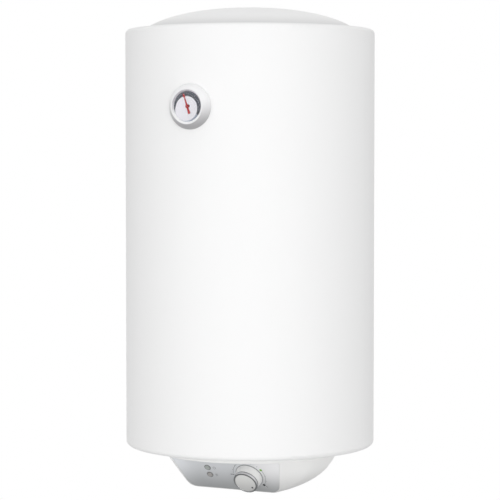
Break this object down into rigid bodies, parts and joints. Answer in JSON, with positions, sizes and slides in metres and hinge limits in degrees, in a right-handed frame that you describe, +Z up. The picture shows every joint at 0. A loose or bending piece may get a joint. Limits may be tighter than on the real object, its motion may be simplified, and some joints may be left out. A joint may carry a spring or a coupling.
{
  "type": "tank water heater",
  "caption": "Upright wall-hung tank water heater: white drum with a dial thermometer, and a moulded control cover with a temperature knob under its base.",
  "frame": {"origin": "centre of the four wall slots, in the plane of the wall", "axes": "+Z up along the tank, +Y into the wall, -Y out of the front"},
  "size_m": [0.4499, 0.476, 0.866],
  "materials": {
    "white_enamel": "satin",
    "white_plastic": "satin",
    "panel_silver": "satin",
    "knob_silver": "satin",
    "trim_chrome": "polished",
    "lens_green": "gloss",
    "lens_amber": "gloss",
    "lamp_socket": "matt",
    "tank_steel": "enamelled",
    "foam": "matt",
    "seal_rubber": "matt",
    "zinc_steel": "satin",
    "ceramic": "matt",
    "anode_metal": "matt",
    "copper_alloy": "satin",
    "collar_blue": "gloss",
    "collar_red": "gloss",
    "diffuser_plastic": "matt",
    "black_plastic": "matt",
    "terminal_plastic": "matt",
    "lead_brown": "matt",
    "lead_blue": "matt",
    "lead_earth": "matt",
    "gland_grey": "matt",
    "gauge_glass": "clear",
    "dial_face": "matt",
    "gauge_case": "matt",
    "needle_red": "satin"
  },
  "bodies": {
    "heater": {"outer_casing": "white_enamel", "top_cap": "white_enamel", "control_cover": "white_plastic", "bottom_cap": "white_plastic", "thermometer_bezel": "white_plastic", "control_panel": "panel_silver", "power_lamp": "lens_green", "heating_lamp": "lens_amber", "lamp_holders": "lamp_socket", "tank_shell": "tank_steel", "tank_top_head": "tank_steel", "tank_bottom_head": "tank_steel", "flange_neck": "tank_steel", "heater_flask_left": "tank_steel", "heater_flask_right": "tank_steel", "insulation_foam": "foam", "flange_gasket": "seal_rubber", "flange_plate": "zinc_steel", "flange_nuts": "zinc_steel", "cold_spigot": "zinc_steel", "hot_spigot": "zinc_steel", "hot_outlet_tube": "zinc_steel", "lower_wall_bracket": "zinc_steel", "upper_wall_bracket": "zinc_steel", "cover_screws": "zinc_steel", "ceramic_heater_left": "ceramic", "ceramic_heater_right": "ceramic", "anode_rod": "anode_metal", "sensor_pocket": "copper_alloy", "thermostat_capillary": "copper_alloy", "thermometer_stem": "copper_alloy", "earth_screw": "copper_alloy", "cold_collar": "collar_blue", "hot_collar": "collar_red", "inlet_diffuser": "diffuser_plastic", "thermostat_body": "black_plastic", "thermal_cutout": "black_plastic", "terminal_block": "terminal_plastic", "heater_lead_left": "lead_brown", "heater_lead_right": "lead_blue", "earth_lead": "lead_earth", "cable_gland": "gland_grey", "gland_locknut": "gland_grey", "gland_nut": "gland_grey", "thermometer_window": "gauge_glass", "thermometer_dial": "dial_face", "thermometer_case": "gauge_case"},
    "temperature_knob": {"knob_body": "knob_silver", "knob_trim_ring": "trim_chrome", "knob_cap": "knob_silver", "thermostat_spindle": "zinc_steel"},
    "thermometer_pointer": {"thermometer_needle": "needle_red"},
    "reset_plunger": {"reset_button": "collar_red"}
  },
  "joints": [
    {"name": "knob_turn", "type": "hinge", "parent": "heater", "child": "temperature_knob", "pos_m": [0.041, -0.32106, -0.4455], "axis": [0, -0.8191, -0.5736], "range_deg": [0, 221]},
    {"name": "needle_swing", "type": "hinge", "parent": "heater", "child": "thermometer_pointer", "pos_m": [0, -0.474, 0.208], "axis": [0, -1, 0], "range_deg": [-150, 75], "stiffness_Nm_per_rad": 0.0005},
    {"name": "reset_press", "type": "slide", "parent": "heater", "child": "reset_plunger", "axis": [0, 0, 1], "range_m": [0, 0.002], "stiffness_N_per_m": 800}
  ]
}
